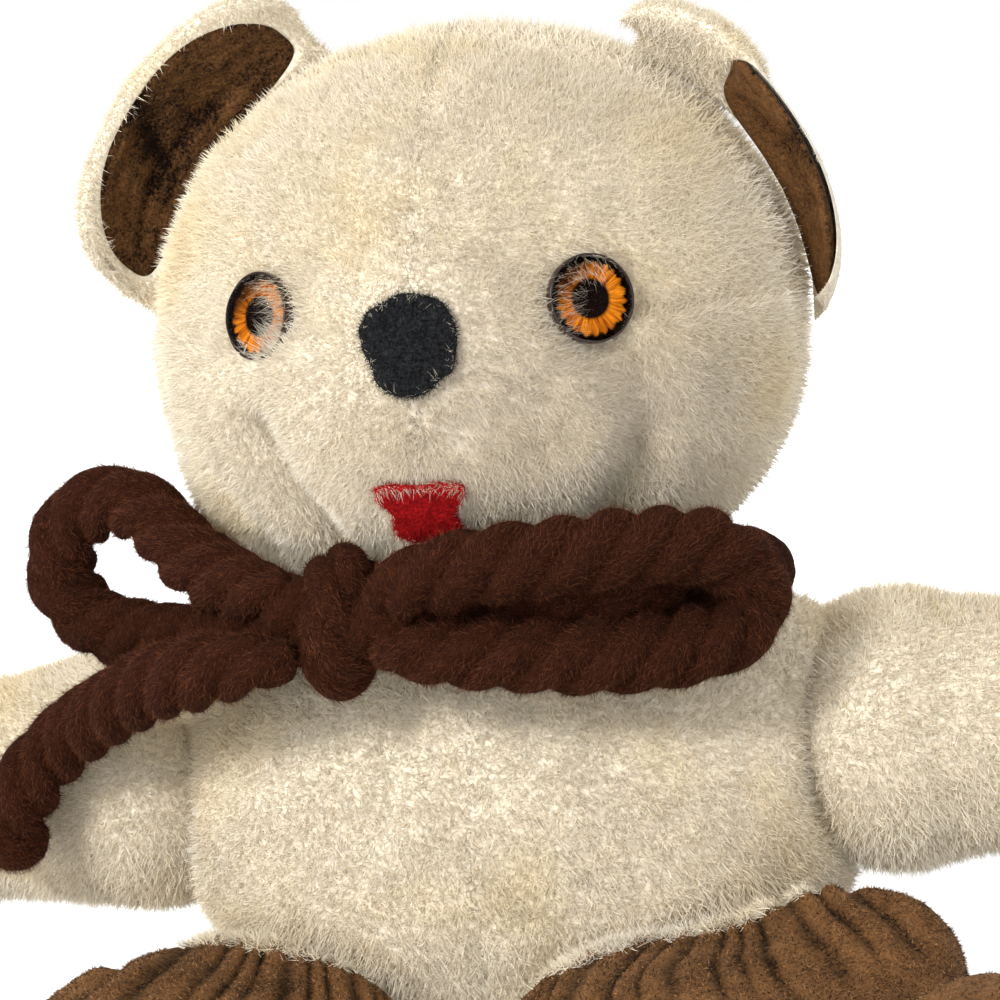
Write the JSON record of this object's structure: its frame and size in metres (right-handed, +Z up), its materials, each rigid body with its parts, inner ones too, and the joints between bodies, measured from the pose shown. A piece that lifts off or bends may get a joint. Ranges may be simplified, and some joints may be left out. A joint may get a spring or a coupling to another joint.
{
  "type": "teddy bear",
  "caption": "Sitting stuffed teddy bear with cream plush head, body and arms, brown velveteen legs and ear linings, plastic eyes, felt nose and mouth, and a thick wool bow tied round its neck",
  "frame": {"origin": "Centre of the flat patch under the body, on the surface that the bear sits on.", "axes": "X runs to the bear's own left, the bear faces -Y, and Z is up."},
  "size_m": [0.4037, 0.2707, 0.3158],
  "materials": {
    "cream_plush": "long pile",
    "brown_velveteen": "crushed pile",
    "cotton_stuffing": "matte",
    "brown_wool_roving": "fuzzy",
    "black_felt": "matte",
    "red_felt": "matte",
    "amber_lens": "clear gloss",
    "sunburst_iris": "metallic print",
    "dark_plastic": "gloss",
    "steel_washer": "plain",
    "cream_thread": "matte"
  },
  "bodies": {
    "body": {"body_cover": "cream_plush", "body_stuffing": "cotton_stuffing", "back_seam_thread": "cream_thread", "yarn_neck_wrap": "brown_wool_roving", "yarn_knot": "brown_wool_roving", "yarn_bow_left": "brown_wool_roving", "yarn_bow_right": "brown_wool_roving", "yarn_tail": "brown_wool_roving"},
    "head": {"head_cover": "cream_plush", "head_stuffing": "cotton_stuffing", "nose_felt": "black_felt", "mouth_felt": "red_felt", "eye_left_backing": "dark_plastic", "eye_left_iris": "sunburst_iris", "eye_left_lens": "amber_lens", "eye_left_washer": "steel_washer", "eye_right_backing": "dark_plastic", "eye_right_iris": "sunburst_iris", "eye_right_lens": "amber_lens", "eye_right_washer": "steel_washer"},
    "ear_left": {"ear_left_plush": "cream_plush", "ear_left_lining": "brown_velveteen"},
    "ear_right": {"ear_right_plush": "cream_plush", "ear_right_lining": "brown_velveteen"},
    "arm_left": {"arm_left_cover": "cream_plush", "arm_left_stuffing": "cotton_stuffing"},
    "arm_right": {"arm_right_cover": "cream_plush", "arm_right_stuffing": "cotton_stuffing"},
    "leg_left": {"leg_left_cover": "brown_velveteen", "leg_left_stuffing": "cotton_stuffing", "sole_left": "brown_velveteen"},
    "leg_right": {"leg_right_cover": "brown_velveteen", "leg_right_stuffing": "cotton_stuffing", "sole_right": "brown_velveteen"}
  },
  "joints": [
    {"name": "head_turn", "type": "hinge", "parent": "body", "child": "head", "pos_m": [0, 0, 0.15], "axis": [0, 0, 1], "range_deg": [-20, 20], "stiffness_Nm_per_rad": 0.5},
    {"name": "arm_left_swing", "type": "hinge", "parent": "body", "child": "arm_left", "pos_m": [0.112, 0, 0.101], "axis": [0, -1, 0], "range_deg": [-30, 20], "stiffness_Nm_per_rad": 0.5},
    {"name": "arm_right_swing", "type": "hinge", "parent": "body", "child": "arm_right", "pos_m": [-0.112, 0, 0.093], "axis": [0, 1, 0], "range_deg": [-30, 0], "stiffness_Nm_per_rad": 0.5},
    {"name": "leg_left_lift", "type": "hinge", "parent": "body", "child": "leg_left", "pos_m": [0.06505, -0.06896, 0.03475], "axis": [-0.7092, -0.6165, -0.342], "range_deg": [-20, 22], "stiffness_Nm_per_rad": 0.8},
    {"name": "leg_right_lift", "type": "hinge", "parent": "body", "child": "leg_right", "pos_m": [-0.06079, -0.07183, 0.03475], "axis": [-0.8373, 0.4266, 0.342], "range_deg": [-20, 22], "stiffness_Nm_per_rad": 0.8},
    {"name": "ear_left_fold", "type": "hinge", "parent": "head", "child": "ear_left", "pos_m": [0.08326, -0.00309, 0.26591], "axis": [0.5227, 0, -0.8525], "range_deg": [-25, 20], "stiffness_Nm_per_rad": 0.05},
    {"name": "ear_right_fold", "type": "hinge", "parent": "head", "child": "ear_right", "pos_m": [-0.07775, -0.00328, 0.27382], "axis": [0.6199, 0, 0.7847], "range_deg": [-25, 20], "stiffness_Nm_per_rad": 0.05}
  ]
}
